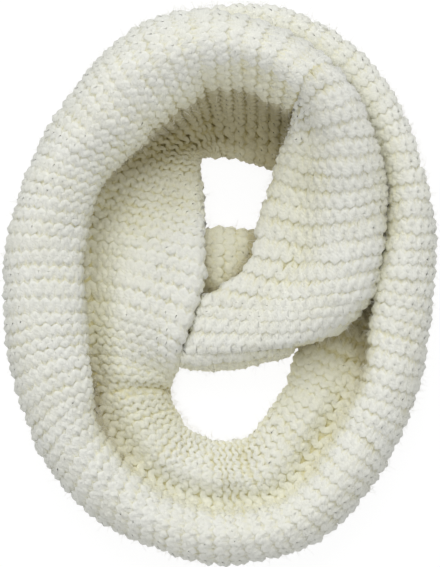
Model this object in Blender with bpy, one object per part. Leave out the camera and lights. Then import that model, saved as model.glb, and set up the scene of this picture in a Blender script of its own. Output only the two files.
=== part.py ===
"""An infinity scarf: one wide garter-stitch band, joined end to end, wound twice and laid flat.

The band runs clockwise. It starts under the crossing at the top, makes the outer turn down the
right side, along the bottom and up the left side, passes over its own start at the top, and makes
the inner turn down to a fold. From the fold it runs beneath the left side and back to its start.
X is to the right, Y is up the scarf as it lies, and Z is up from the surface that it lies on.
"""

from collections import namedtuple

import bmesh
import bpy
import numpy as np

MM = 0.001

# Driving sizes of the cloth, in millimetres.
WALL = 6.0  # thickness of the knitted cloth
RIDGE_HEIGHT = 2.4  # from the groove between two garter ridges to the top of a ridge
OUTER_TUCK = 14.0  # flat length of the cloth turned under the outer roll
RIM_TUCK = 5.0  # flat length of the cloth turned under the rim
SEAM_GAP = 0.06  # what each stretch leaves free at its ends, in ridges
FLAT_HEIGHT = 3.0  # over this height the ridges fade out towards the surface that it rests on

# The middle of the scarf's underside in the tables below. It becomes the origin.
UNDERSIDE_MIDDLE = (0.31, -1.5, 0.0)

RINGS_PER_RIDGE = 2
INSIDE_STEP = 4  # the plain inside has one ring for this many outside
CREAM = (0.86, 0.85, 0.76, 1.0)
ROUGHNESS = 0.95
SHARP_ANGLE = 60  # degrees between faces from which an edge is drawn sharp

# A station is one section across the band. Its outer edge, crease and rim are places in the plan.
# crown_at is the share of the roll's width where its crown lies, and full is how much of the way
# from crown to crease the roll still has most of its height. lean is how far the ridge bows aside
# on the roll. The rest are heights.
Station = namedtuple(
    "Station",
    "ridge edge_x edge_y crease_x crease_y rim_x rim_y"
    " crown_at full lean crown crease band rim base floor",
)

OUTER_TURN = [
    # ridge edge     crease      rim    crown_at full lean crown crease band rim base floor
    Station(0.0, -20, 203, -11, 169, -5, 150, 0.50, 0.50, 0, 30, 9, 14, 7, 0, 0),
    Station(2.5, 13, 206, 16, 171, 18, 152, 0.50, 0.50, 0, 32, 9, 14, 7, 0, 0),
    Station(6.0, 57, 199, 44, 166, 38, 147, 0.50, 0.55, 0, 35, 9, 14, 7, 0, 0),
    Station(9.0, 93, 179, 71, 151, 59, 134, 0.50, 0.60, 0, 38, 9, 14, 7, 0, 0),
    Station(12.0, 120, 151, 92, 129, 76, 114, 0.50, 0.66, 0, 41, 9, 14, 7, 0, 0),
    Station(15.5, 140, 116, 110, 102, 91, 92, 0.48, 0.70, 0, 44, 9, 12.5, 7, 0, 0),
    Station(18.5, 153, 79, 119.5, 73, 100, 69, 0.46, 0.72, 0, 47, 9, 12.5, 7, 0, 0),
    Station(21.5, 159, 41, 122, 39, 102, 38, 0.46, 0.78, 0, 48, 9, 12.5, 7, 0, 0),
    Station(25.0, 158, -1, 115, 3, 97, 5, 0.46, 0.80, 0, 49, 9, 12.5, 7, 0, 0),
    Station(28.5, 154, -42, 109, -28, 75, -16, 0.46, 0.68, 0, 50, 13, 15, 7, 0, 0),
    Station(32.0, 146, -84, 98, -70, 57, -51, 0.45, 0.52, 0, 50, 18, 20, 7, 0, 0),
    Station(35.5, 128, -127, 85, -98, 48, -79, 0.45, 0.50, 0, 50, 20, 25, 7, 0, 0),
    Station(39.5, 101, -166, 62, -138, 33, -101, 0.45, 0.50, 0, 50, 20, 26, 7, 0, 0),
    Station(43.0, 68, -195, 40, -159, 20, -115, 0.45, 0.50, 0, 50, 20, 26, 7, 0, 0),
    Station(46.0, 35, -206, 16, -162, 9, -118, 0.45, 0.52, 0, 50, 20, 26, 7, 0, 0),
    Station(48.5, 3, -209, 0, -163, -2, -117, 0.45, 0.52, 0, 50, 20, 26, 7, 0, 0),
    Station(51.0, -28, -205, -24, -158, -12, -113, 0.45, 0.54, 0, 50, 20, 26, 7, 0, 0),
    Station(54.5, -65, -191, -49, -144, -22, -107, 0.45, 0.56, 0, 51, 21, 27, 7, 0, 0),
    Station(57.5, -96, -172, -69, -125, -28, -98, 0.45, 0.60, 0, 53, 22, 29, 7, 0, 0),
    Station(60.5, -121, -144, -83, -103, -33, -89, 0.44, 0.62, 0, 57, 24, 31, 8, 0, 0),
    Station(64.0, -139, -109, -90, -78, -34.5, -79, 0.43, 0.86, 0, 61, 26, 34, 9, 0, 1),
    Station(67.5, -153, -68, -94, -50, -33.5, -72, 0.42, 0.86, 0, 64, 26, 37, 13, 0, 5),
    Station(71.0, -158, -27, -96, -24, -25.5, -48, 0.42, 0.86, 0, 66, 26, 39, 30, 0, 21.5),
    Station(74.5, -158, 16, -97, 16, -11, -5, 0.42, 0.86, 0, 67, 26, 39, 31, 0, 22),
    Station(78.0, -149.5, 56, -92, 47, -10, 32, 0.41, 0.86, 0, 70, 26, 36, 29, 0, 21.5),
    Station(82.0, -135, 95, -78, 73, -11, 59, 0.40, 0.80, 0, 76, 27, 30, 16, 0, 8),
    Station(85.5, -112.5, 133.5, -58, 91, -12, 84, 0.38, 0.79, 0, 84, 26, 23, 8, 6, 0),
    Station(89.5, -82, 169, -34, 104, -9, 91, 0.31, 0.74, 0, 91, 21, 17, 7, 19.5, 0),
    Station(93.0, -49, 192, -11, 107, -2, 90, 0.28, 0.64, 0, 96, 16, 14, 7, 29.5, 0),
    Station(95.5, -15, 199.5, 0, 107, 3, 90, 0.27, 0.50, 0, 98, 14, 15, 7, 32, 0),
    Station(97.0, 8, 197, 11, 107, 12, 89, 0.27, 0.42, -1, 99, 14, 15, 7, 33, 0),
    Station(98.0, 24, 193, 19, 107, 18, 88, 0.28, 0.38, -4, 99, 14, 15, 7, 34, 0),
    Station(99.0, 40, 187.5, 27, 107, 25, 86, 0.28, 0.40, -6, 99, 14, 15, 7, 35, 0),
    Station(100.0, 56, 180, 36, 107, 33, 84, 0.29, 0.43, -8, 98, 14, 15, 7, 36.5, 0),
    Station(101.0, 70.5, 170.5, 44.5, 107, 41, 81, 0.30, 0.47, -8.5, 97, 14, 15, 7, 38, 0),
    Station(102.0, 84, 159, 51.5, 107, 49, 79, 0.31, 0.50, -8, 95, 14, 15, 7, 39.5, 0),
]

INNER_TURN = [
    # ridge edge     crease      rim    crown_at full lean crown crease band rim base floor
    Station(0.0, 85.2, 159.5, 58.5, 138, 53.4, 124.6, 0.42, 0.60, 0, 95, 88, 81, 60, 39.5, 49),
    Station(1.0, 95.5, 146.5, 62, 128.6, 52, 119.5, 0.45, 0.55, 0, 92, 80, 74, 56, 38, 46),
    Station(2.0, 103.5, 132.5, 66, 119.5, 50.9, 114, 0.48, 0.50, 0, 89, 75, 67, 53, 36, 44),
    Station(3.0, 109.5, 119.5, 70, 110.5, 49.6, 108, 0.50, 0.50, 0, 85, 71, 62, 50, 34, 41),
    Station(4.0, 114, 107, 72, 101, 47.3, 101, 0.50, 0.50, 0, 81, 69, 60, 47, 31, 38),
    Station(5.0, 118.5, 94, 74, 89, 43.8, 94, 0.50, 0.50, 0, 77, 67, 56, 41, 25, 31),
    Station(7.0, 122.8, 72, 75, 64, 38.7, 76, 0.48, 0.50, 0, 70, 61, 48, 33, 16, 24),
    Station(9.0, 121.8, 49, 74, 40, 29.9, 47, 0.48, 0.50, 0, 66, 57, 44, 30, 16, 22),
    Station(10.5, 120, 28, 70, 19, 24.6, 26, 0.48, 0.50, 0, 64, 55, 43, 30, 16, 22),
    Station(12.0, 117, 9, 62, -1, 14, 7, 0.48, 0.50, 0, 62, 54, 43, 30, 16, 22),
    Station(13.5, 113, -8, 52, -17, -9, -12, 0.46, 0.50, 0, 60, 52, 42, 28, 17, 20.5),
    Station(15.5, 102, -27, 38, -34, -14, -30, 0.43, 0.50, 0, 56, 49, 41, 28, 19, 20.5),
    Station(17.0, 84, -41, 29, -48, -23, -48, 0.42, 0.50, 0, 49, 45, 39, 26, 19, 18),
    Station(18.0, 58, -49, 16, -53, -24.2, -53, 0.42, 0.50, 0, 40, 38, 35, 25, 18, 18),
]

BRIDGE = [
    # ridge edge     crease      rim    crown_at full lean crown crease band rim base floor
    Station(0.0, -24, 36, -24, -5, -24, -50, 0.50, 0.50, 0, 17.5, 17.5, 16, 7, 0, 0),
    Station(2.0, -6, 41, -6, -5, -6, -51, 0.50, 0.50, 0, 17.5, 17.5, 16, 7, 0, 0),
    Station(4.0, 13, 40, 13, -5, 13, -50, 0.50, 0.50, 0, 17.5, 17.5, 16, 7, 0, 0),
    Station(6.0, 32, 34, 32, -5, 32, -46, 0.50, 0.50, 0, 17.5, 17.5, 16, 7, 0, 0),
    Station(8.0, 54, 18, 49, -5, 49, -40, 0.50, 0.50, 0, 17, 17, 16, 7, 0, 0),
]

# The bottom of the inner turn rolls over to the surface and a little way back beneath itself.
# reach goes from the end of the inner turn, 0, to the outline of the fold, 1.
FoldLine = namedtuple("FoldLine", "reach height")
FOLD = [
    FoldLine(0.20, 0.99),
    FoldLine(0.46, 0.95),
    FoldLine(0.74, 0.81),
    FoldLine(0.94, 0.60),
    FoldLine(1.00, 0.36),
    FoldLine(0.92, 0.14),
    FoldLine(0.70, 0.00),
    FoldLine(0.45, 0.00),
]
FOLD_OUTLINE = [(52, -56), (48, -57.7), (41, -59.4), (30, -61.6), (14, -64.6), (-8, -66.2), (-29, -63.5)]

# The layers that nothing shows: a low rounded solid from the bridge to the start of the band.
# Each row is one section, from the side nearer the outside of the scarf to the side nearer its
# middle.
HiddenStation = namedtuple("HiddenStation", "outer_x outer_y inner_x inner_y height")
HIDDEN = [
    # outer side    inner side     height
    HiddenStation(-24, -46, -24, 33.5, 17),
    HiddenStation(-38, -41, -29, 34.2, 17.5),
    HiddenStation(-53, -31, -31, 35.5, 18),
    HiddenStation(-66, -15, -33, 37.5, 18),
    HiddenStation(-77, 4, -35, 40.5, 18),
    HiddenStation(-85, 27, -38, 46, 18),
    HiddenStation(-89.5, 56, -42, 62, 18),
    HiddenStation(-88, 88.5, -44, 83.5, 18),
    HiddenStation(-80, 117, -40, 103, 19),
    HiddenStation(-69, 142.5, -31, 123.5, 21.5),
    HiddenStation(-58, 165.5, -18, 142.5, 25.6),
    HiddenStation(-45, 189, -11, 152.5, 28.8),
    HiddenStation(-22.5, 200, -6.8, 150, 30.5),
]
HIDDEN_SIDES = 12
HIDDEN_RINGS = 30

HIDDEN_BULGE = 0.7  # under 1, the sides of the hidden layers are fuller than an ellipse

# The side of the roll from its underside to its crown: how far in, as a share of the way to the
# crown, and how high, as a share of the rise to it.
ROLL_SIDE = [(0.75, 0.0), (0.22, 0.10), (0.0, 0.42), (0.20, 0.80), (1.0, 1.0)]
ROLL_INNER_HEIGHT = 0.80  # how much of its height the roll still has where full says
BAND_AT = 0.35  # where the inner band has its own height, as a share of its width
SHOULDER_AT = 0.72  # where it starts to turn over to the rim
# The turn at the rim: how far inside the rim, and how far above it, as shares of its radius.
RIM_TURN = [(0.30, 0.75), (0.0, 0.0), (0.30, -0.75)]

LEAN_BOW = 11.0  # makes the bow of a leaning ridge about as wide as lean says

# Steps from each point of a section to the next, from the end of the outer tuck to the end of
# the rim's tuck.
SECTION_STEPS = (1, 1, 1, 1, 2, 2, 2, 2, 2, 1, 1, 1, 1, 1)
FOLD_START = 3  # the step of a section where the fold begins, at the outer edge
FOLD_END = 15  # the step where it ends, just above the rim


def smooth(knots, values, places):
    """Reads a smooth curve through values at knots."""
    slopes = np.gradient(values, knots, axis=0)
    left = np.clip(np.searchsorted(knots, places, side="right") - 1, 0, len(knots) - 2)
    span = (knots[left + 1] - knots[left])[:, None]
    share = (places - knots[left])[:, None] / span
    start = (1 + 2 * share) * (1 - share) ** 2
    leave = share * (1 - share) ** 2
    finish = share**2 * (3 - 2 * share)
    arrive = share**2 * (share - 1)
    return (
        start * values[left]
        + leave * span * slopes[left]
        + finish * values[left + 1]
        + arrive * span * slopes[left + 1]
    )


def smooth_stations(stations, ridges):
    """Reads stations between those of the table."""
    table = np.array(stations, dtype=float)
    rows = smooth(table[:, 0], table, np.asarray(ridges, dtype=float))
    return [Station(*row) for row in rows]


def section(station):
    """Works out one section across the band, as points from tuck to tuck."""
    edge = np.array((station.edge_x, station.edge_y))
    crease = np.array((station.crease_x, station.crease_y))
    rim = np.array((station.rim_x, station.rim_y))
    roll = np.linalg.norm(crease - edge)
    flat = np.linalg.norm(rim - crease)
    crown_at = station.crown_at * roll
    rise = station.crown - station.base
    drop = station.crown - station.crease
    turn = station.rim - station.floor
    shoulder = 0.5 * (station.band + station.rim + turn)
    outline = [(ROLL_SIDE[0][0] * crown_at + OUTER_TUCK, station.base)]
    for inward, upward in ROLL_SIDE:
        outline.append((inward * crown_at, station.base + upward * rise))
    full_at = crown_at + station.full * (roll - crown_at)
    outline.append((full_at, station.crease + ROLL_INNER_HEIGHT * drop))
    outline.append((roll, station.crease))
    outline.append((roll + BAND_AT * flat, station.band))
    outline.append((roll + SHOULDER_AT * flat, shoulder))
    for inward, upward in RIM_TURN:
        outline.append((roll + flat - inward * turn, station.rim + upward * turn))
    outline.append((roll + flat - turn, station.floor))
    outline.append((roll + flat - turn - RIM_TUCK, station.floor))
    bend_at = roll / (roll + flat)
    bend = crease - edge - (rim - edge) * bend_at
    chord = (rim - edge) / np.linalg.norm(rim - edge)
    aside = station.lean * np.array((-chord[1], chord[0]))
    points = []
    for across, height in outline:
        share = across / (roll + flat)
        bent = share * (1 - share) / (bend_at * (1 - bend_at))
        bow = LEAN_BOW * share * (1 - share) * (bend_at - share)
        points.append((*(edge + (rim - edge) * share + bend * bent + aside * bow), height))
    points = np.array(points)
    knots = np.concatenate(([0.0], np.cumsum(np.linalg.norm(np.diff(points, axis=0), axis=1))))
    places = [knots[0]]
    for start, end, steps in zip(knots[:-1], knots[1:], SECTION_STEPS):
        places.extend(start + (end - start) * (k + 1) / steps for k in range(steps))
    return smooth(knots, points, np.array(places))


def normals(grid):
    """Finds the outward direction at each point of a grid of sections."""
    across = np.gradient(grid, axis=1)
    along = np.gradient(grid, axis=0)
    facing = np.cross(across, along)
    return facing / np.linalg.norm(facing, axis=2, keepdims=True)


def raised_grid(grid, ridges):
    """Moves the outside of the cloth in and out so that it has its garter ridges."""
    wave = -0.5 * np.cos(2 * np.pi * np.asarray(ridges))[:, None, None]
    fade = np.clip(grid[:, :, 2:] / FLAT_HEIGHT, 0.0, 1.0)
    return grid + normals(grid) * wave * fade * RIDGE_HEIGHT


def above_surface(grid):
    """Keeps points from going below the surface that the scarf lies on."""
    lifted = grid.copy()
    lifted[:, :, 2] = np.maximum(lifted[:, :, 2], 0.0)
    return lifted


def edge_strip(outside, inside, inside_rows):
    """Joins a side of the outside to the same side of the inside, which has fewer points."""
    faces = []
    for k in range(len(inside) - 1):
        first, last = inside_rows[k], inside_rows[k + 1]
        middle = (first + last) // 2
        for row in range(first, middle):
            faces.append((outside[row], outside[row + 1], inside[k]))
        faces.append((outside[middle], inside[k + 1], inside[k]))
        for row in range(middle, last):
            faces.append((outside[row], outside[row + 1], inside[k + 1]))
    return faces


def wall_mesh(name, outer, inner, inside_rows):
    """Builds a closed wall between a grid outside and a sparser grid inside."""
    rows, columns = outer.shape[:2]
    outside = np.arange(rows * columns).reshape(rows, columns)
    inside = np.arange(len(inside_rows) * columns).reshape(-1, columns) + rows * columns
    faces = []
    for row in range(rows - 1):
        for col in range(columns - 1):
            faces.append(
                (
                    outside[row, col],
                    outside[row, col + 1],
                    outside[row + 1, col + 1],
                    outside[row + 1, col],
                )
            )
    for row in range(len(inside_rows) - 1):
        for col in range(columns - 1):
            faces.append(
                (
                    inside[row, col],
                    inside[row + 1, col],
                    inside[row + 1, col + 1],
                    inside[row, col + 1],
                )
            )
    for col in range(columns - 1):
        faces.append((outside[0, col], inside[0, col], inside[0, col + 1], outside[0, col + 1]))
        faces.append(
            (outside[-1, col + 1], inside[-1, col + 1], inside[-1, col], outside[-1, col])
        )
    faces.extend(edge_strip(outside[:, 0], inside[:, 0], inside_rows))
    faces.extend(edge_strip(outside[:, -1], inside[:, -1], inside_rows))
    points = np.concatenate((outer.reshape(-1, 3), inner.reshape(-1, 3)))
    return closed_object(name, points, faces)


def closed_object(name, points, faces):
    """Makes a named object from points in millimetres, with its faces pointing out."""
    placed = (points - np.array(UNDERSIDE_MIDDLE)) * MM
    mesh = bpy.data.meshes.new(name)
    mesh.from_pydata([tuple(point) for point in placed], [], faces)
    work = bmesh.new()
    work.from_mesh(mesh)
    bmesh.ops.triangulate(work, faces=work.faces)
    bmesh.ops.recalc_face_normals(work, faces=work.faces)
    work.to_mesh(mesh)
    work.free()
    mesh.shade_smooth()
    mesh.set_sharp_from_angle(angle=np.radians(SHARP_ANGLE))
    mesh.materials.append(yarn_material(name))
    item = bpy.data.objects.new(name, mesh)
    bpy.context.scene.collection.objects.link(item)
    return item


def yarn_material(name):
    """Makes the plain cream finish of one stretch."""
    material = bpy.data.materials.new(name + "_yarn")
    material.use_nodes = True
    shader = material.node_tree.nodes["Principled BSDF"]
    shader.inputs["Base Color"].default_value = CREAM
    shader.inputs["Roughness"].default_value = ROUGHNESS
    shader.inputs["Metallic"].default_value = 0.0
    return material


def stretch(name, stations, first, last):
    """Builds the wall of one stretch of the band, from one ridge to another."""
    ridges = np.arange(first * RINGS_PER_RIDGE, last * RINGS_PER_RIDGE + 1) / RINGS_PER_RIDGE
    ends = ridges.copy()
    ends[0] += SEAM_GAP
    ends[-1] -= SEAM_GAP
    grid = np.array([section(station) for station in smooth_stations(stations, ends)])
    inside_rows = list(range(0, len(ridges) - 1, INSIDE_STEP)) + [len(ridges) - 1]
    outer = above_surface(raised_grid(grid, ridges))
    inner = above_surface((grid - normals(grid) * WALL)[inside_rows])
    return wall_mesh(name, outer, inner, inside_rows)


def inner_fold():
    """Builds the wall that rolls over at the bottom of the inner turn."""
    last = INNER_TURN[-1].ridge
    start = section(smooth_stations(INNER_TURN, [last])[0])[FOLD_START : FOLD_END + 1]
    outline = np.array(FOLD_OUTLINE)
    shares = np.linspace(0.0, 1.0, len(outline))
    goal = smooth(shares, outline, np.linspace(0.0, 1.0, len(start)))
    lines = []
    for line in FOLD:
        plan = start[:, :2] + (goal - start[:, :2]) * line.reach
        lines.append(np.column_stack((plan, start[:, 2] * line.height)))
    grid = np.array(lines)
    inside_rows = list(range(len(grid)))
    inner = above_surface(grid - normals(grid) * WALL)
    return wall_mesh("inner_fold", above_surface(grid), inner, inside_rows)


def hidden_layers():
    """Builds the low rounded solid of the layers that lie beneath the left side."""
    table = np.array(HIDDEN, dtype=float)
    places = np.linspace(0, len(table) - 1, HIDDEN_RINGS)
    rows = smooth(np.arange(len(table), dtype=float), table, places)
    turns = np.linspace(0.0, np.pi, HIDDEN_SIDES)
    points = []
    for outer_x, outer_y, inner_x, inner_y, height in rows:
        middle = np.array((inner_x + outer_x, inner_y + outer_y)) / 2
        half = np.array((inner_x - outer_x, inner_y - outer_y)) / 2
        for turn in turns:
            out = -np.sign(np.cos(turn)) * abs(np.cos(turn)) ** HIDDEN_BULGE
            up = np.sin(turn) ** HIDDEN_BULGE * height
            points.append((*(middle + half * out), up))
    faces = []
    for row in range(HIDDEN_RINGS - 1):
        for col in range(HIDDEN_SIDES):
            here = row * HIDDEN_SIDES
            ahead = here + HIDDEN_SIDES
            step = (col + 1) % HIDDEN_SIDES
            faces.append((here + col, here + step, ahead + step, ahead + col))
    faces.append(tuple(range(HIDDEN_SIDES)))
    last = (HIDDEN_RINGS - 1) * HIDDEN_SIDES
    faces.append(tuple(last + col for col in reversed(range(HIDDEN_SIDES))))
    return closed_object("hidden_layers", np.array(points), faces)


def clear_scene():
    """Removes the objects that the file opens with."""
    for item in list(bpy.data.objects):
        bpy.data.objects.remove(item, do_unlink=True)


def main():
    clear_scene()
    stretch("right_stretch", OUTER_TURN, 0, 34)
    stretch("lower_stretch", OUTER_TURN, 34, 58)
    stretch("left_stretch", OUTER_TURN, 58, 84)
    stretch("upper_stretch", OUTER_TURN, 84, 102)
    stretch("inner_stretch", INNER_TURN, 0, 18)
    stretch("bridge_stretch", BRIDGE, 0, 8)
    inner_fold()
    hidden_layers()


main()
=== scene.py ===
"""The look of the laid infinity scarf: its knitted rows, loop by loop, on the forms of the solids.

The band is one sheet in garter stitch. Every row is a tube of yarn that runs across the band and
loops through the rows beside it. Sizes are in millimetres, in the tables' own frame, and become
metres about the middle of the underside when a mesh is made.
"""

from collections import namedtuple

import bpy
import numpy as np
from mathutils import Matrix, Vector


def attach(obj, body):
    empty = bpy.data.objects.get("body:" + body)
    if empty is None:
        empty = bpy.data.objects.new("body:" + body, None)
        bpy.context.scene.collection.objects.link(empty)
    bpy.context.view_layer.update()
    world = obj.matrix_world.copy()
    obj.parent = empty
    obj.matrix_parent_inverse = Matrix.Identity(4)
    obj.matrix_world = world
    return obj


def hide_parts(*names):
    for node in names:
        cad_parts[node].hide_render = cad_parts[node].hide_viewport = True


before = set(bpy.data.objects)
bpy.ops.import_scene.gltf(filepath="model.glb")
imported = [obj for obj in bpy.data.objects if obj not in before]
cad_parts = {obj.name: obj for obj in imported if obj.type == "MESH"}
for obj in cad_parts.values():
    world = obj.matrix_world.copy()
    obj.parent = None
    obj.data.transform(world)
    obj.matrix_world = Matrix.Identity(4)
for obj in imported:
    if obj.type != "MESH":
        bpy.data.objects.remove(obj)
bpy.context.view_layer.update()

MM = 0.001
UNDERSIDE_MIDDLE = np.array((0.31, -1.5, 0.0))  # where the frame's origin lies in the tables

OUTER_TUCK = 14.0  # how far the cloth is tucked in beneath the roll
RIM_TUCK = 5.0  # and beneath the rim

# A station is one section across the band. Its outer edge, crease and rim are places in the plan.
# crown_at is the share of the roll's width where its crown lies, and full is how much of the way
# from crown to crease the roll still has most of its height. lean is how far the ridge bows aside
# on the roll. The rest are heights.
Station = namedtuple(
    "Station",
    "ridge edge_x edge_y crease_x crease_y rim_x rim_y"
    " crown_at full lean crown crease band rim base floor",
)

OUTER_TURN = [
    # ridge edge     crease      rim    crown_at full lean crown crease band rim base floor
    Station(0.0, -20, 203, -11, 169, -5, 150, 0.50, 0.50, 0, 30, 9, 14, 7, 0, 0),
    Station(2.5, 13, 206, 16, 171, 18, 152, 0.50, 0.50, 0, 32, 9, 14, 7, 0, 0),
    Station(6.0, 57, 199, 44, 166, 38, 147, 0.50, 0.55, 0, 35, 9, 14, 7, 0, 0),
    Station(9.0, 93, 179, 71, 151, 59, 134, 0.50, 0.60, 0, 38, 9, 14, 7, 0, 0),
    Station(12.0, 120, 151, 92, 129, 76, 114, 0.50, 0.66, 0, 41, 9, 14, 7, 0, 0),
    Station(15.5, 140, 116, 110, 102, 91, 92, 0.48, 0.70, 0, 44, 9, 12.5, 7, 0, 0),
    Station(18.5, 153, 79, 119.5, 73, 100, 69, 0.46, 0.72, 0, 47, 9, 12.5, 7, 0, 0),
    Station(21.5, 159, 41, 122, 39, 102, 38, 0.46, 0.86, 0, 48, 9, 12.5, 7, 0, 0),
    Station(25.0, 158, -1, 115, 3, 97, 5, 0.46, 0.92, 0, 49, 9, 12.5, 7, 0, 0),
    Station(28.5, 154, -42, 109, -28, 75, -16, 0.46, 0.80, 0, 50, 13, 15, 7, 0, 0),
    Station(32.0, 146, -84, 98, -70, 57, -51, 0.45, 0.52, 0, 50, 18, 20, 7, 0, 0),
    Station(35.5, 128, -127, 85, -98, 48, -79, 0.45, 0.50, 0, 50, 20, 25, 7, 0, 0),
    Station(39.5, 101, -166, 62, -138, 33, -101, 0.45, 0.50, 0, 50, 20, 26, 7, 0, 0),
    Station(43.0, 68, -195, 40, -159, 20, -115, 0.45, 0.50, 0, 50, 20, 26, 7, 0, 0),
    Station(46.0, 35, -206, 16, -162, 9, -118, 0.45, 0.52, 0, 50, 20, 26, 7, 0, 0),
    Station(48.5, 3, -209, 0, -163, -2, -117, 0.45, 0.52, 0, 50, 20, 26, 7, 0, 0),
    Station(51.0, -28, -205, -24, -158, -12, -113, 0.45, 0.54, 0, 50, 20, 26, 7, 0, 0),
    Station(54.5, -65, -191, -49, -144, -22, -107, 0.45, 0.56, 0, 51, 21, 27, 7, 0, 0),
    Station(57.5, -96, -172, -69, -125, -28, -98, 0.45, 0.60, 0, 53, 22, 29, 7, 0, 0),
    Station(60.5, -121, -144, -83, -103, -33, -89, 0.44, 0.62, 0, 57, 24, 31, 8, 0, 0),
    Station(64.0, -139, -109, -90, -78, -34.5, -79, 0.43, 0.86, 0, 61, 26, 34, 9, 0, 1),
    Station(67.5, -153, -68, -94, -50, -33.5, -72, 0.42, 0.86, 0, 64, 26, 37, 13, 0, 5),
    Station(71.0, -158, -27, -96, -24, -25.5, -48, 0.42, 0.86, 0, 66, 26, 39, 30, 0, 21.5),
    Station(74.5, -158, 16, -97, 16, -11, -5, 0.42, 0.86, 0, 67, 26, 39, 31, 0, 22),
    Station(78.0, -149.5, 56, -92, 47, -10, 32, 0.41, 0.86, 0, 70, 26, 36, 29, 0, 21.5),
    Station(82.0, -135, 95, -78, 73, -11, 59, 0.40, 0.80, 0, 76, 27, 30, 16, 0, 8),
    Station(85.5, -112.5, 133.5, -58, 91, -12, 84, 0.38, 0.79, 0, 84, 26, 23, 8, 6, 0),
    Station(89.5, -82, 169, -34, 104, -9, 91, 0.31, 0.70, 0, 91, 21, 17, 7, 19.5, 0),
    Station(93.0, -49, 192, -11, 107, -2, 90, 0.28, 0.57, 0, 96, 16, 14, 7, 29.5, 0),
    Station(95.5, -15, 199.5, 0, 107, 3, 90, 0.27, 0.43, 0, 98, 14, 15, 7, 32, 0),
    Station(97.0, 8, 197, 11, 107, 12, 89, 0.27, 0.39, -1, 99, 14, 15, 7, 33, 0),
    Station(98.0, 24, 193, 19, 107, 18, 88, 0.28, 0.38, -4, 99, 14, 15, 7, 34, 0),
    Station(99.0, 40, 187.5, 27, 107, 25, 86, 0.28, 0.40, -6, 99, 14, 15, 7, 35, 0),
    Station(100.0, 56, 180, 36, 107, 33, 84, 0.29, 0.43, -8, 98, 14, 15, 7, 36.5, 0),
    Station(101.0, 70.5, 170.5, 44.5, 107, 41, 81, 0.30, 0.47, -8.5, 97, 14, 15, 7, 38, 0),
    Station(102.0, 84, 159, 51.5, 107, 49, 79, 0.31, 0.50, -8, 95, 14, 15, 7, 39.5, 0),
]

INNER_TURN = [
    # ridge edge     crease      rim    crown_at full lean crown crease band rim base floor
    Station(0.0, 85.2, 159.5, 58.5, 138, 53.4, 124.6, 0.42, 0.60, 0, 95, 88, 81, 60, 39.5, 49),
    Station(1.0, 95.5, 146.5, 62, 128.6, 52, 119.5, 0.45, 0.55, 0, 92, 80, 74, 56, 38, 46),
    Station(2.0, 103.5, 132.5, 66, 119.5, 50.9, 114, 0.48, 0.50, 0, 89, 75, 67, 53, 36, 44),
    Station(3.0, 109.5, 119.5, 70, 110.5, 49.6, 108, 0.50, 0.50, 0, 85, 71, 62, 50, 34, 41),
    Station(4.0, 114, 107, 72, 101, 47.3, 101, 0.50, 0.50, 0, 81, 69, 60, 47, 31, 38),
    Station(5.0, 118.5, 94, 74, 89, 43.8, 94, 0.50, 0.50, 0, 77, 67, 56, 41, 25, 31),
    Station(7.0, 122.8, 72, 75, 64, 38.7, 76, 0.48, 0.50, 0, 70, 61, 48, 33, 16, 24),
    Station(9.0, 122.8, 49, 74, 40, 29.9, 47, 0.48, 0.50, 0, 66, 57, 44, 30, 16, 22),
    Station(10.5, 122, 28, 70, 19, 24.6, 26, 0.48, 0.50, 0, 64, 55, 43, 30, 16, 22),
    Station(12.0, 119.5, 9, 62, -1, 14, 7, 0.48, 0.50, 0, 62, 54, 43, 30, 16, 22),
    Station(13.5, 115.5, -8, 52, -17, -14, -12, 0.46, 0.50, 0, 60, 52, 42, 28, 17, 20.5),
    Station(15.5, 102, -27, 38, -34, -20.5, -30, 0.43, 0.50, 0, 56, 49, 41, 28, 19, 20.5),
    Station(17.0, 84, -41, 29, -48, -27.5, -48, 0.42, 0.50, 0, 49, 45, 39, 26, 19, 18),
    Station(18.0, 58, -49, 16, -53, -29, -53, 0.42, 0.50, 0, 40, 38, 35, 25, 18, 18),
]

BRIDGE = [
    # ridge edge     crease      rim    crown_at full lean crown crease band rim base floor
    Station(0.0, -24, 36, -24, -5, -24, -50, 0.50, 0.50, 0, 17.5, 17.5, 16, 7, 0, 0),
    Station(2.0, -6, 41, -6, -5, -6, -51, 0.50, 0.50, 0, 17.5, 17.5, 16, 7, 0, 0),
    Station(4.0, 13, 40, 13, -5, 13, -50, 0.50, 0.50, 0, 17.5, 17.5, 16, 7, 0, 0),
    Station(6.0, 32, 34, 32, -5, 32, -46, 0.50, 0.50, 0, 17.5, 17.5, 16, 7, 0, 0),
    Station(8.0, 54, 18, 49, -5, 49, -40, 0.50, 0.50, 0, 17, 17, 16, 7, 0, 0),
]

# The bottom of the inner turn rolls over to the surface and a little way back beneath itself.
# reach goes from the end of the inner turn, 0, to the outline of the fold, 1.
FoldLine = namedtuple("FoldLine", "reach height")
FOLD = [
    FoldLine(0.20, 0.99),
    FoldLine(0.46, 0.95),
    FoldLine(0.74, 0.81),
    FoldLine(0.94, 0.60),
    FoldLine(1.00, 0.36),
    FoldLine(0.92, 0.14),
    FoldLine(0.70, 0.00),
    FoldLine(0.45, 0.00),
]
FOLD_OUTLINE = [(52, -56), (48, -57.7), (41, -59.4), (30, -61.6), (14, -64.6), (-8, -66.2), (-31.5, -63.2)]

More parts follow.
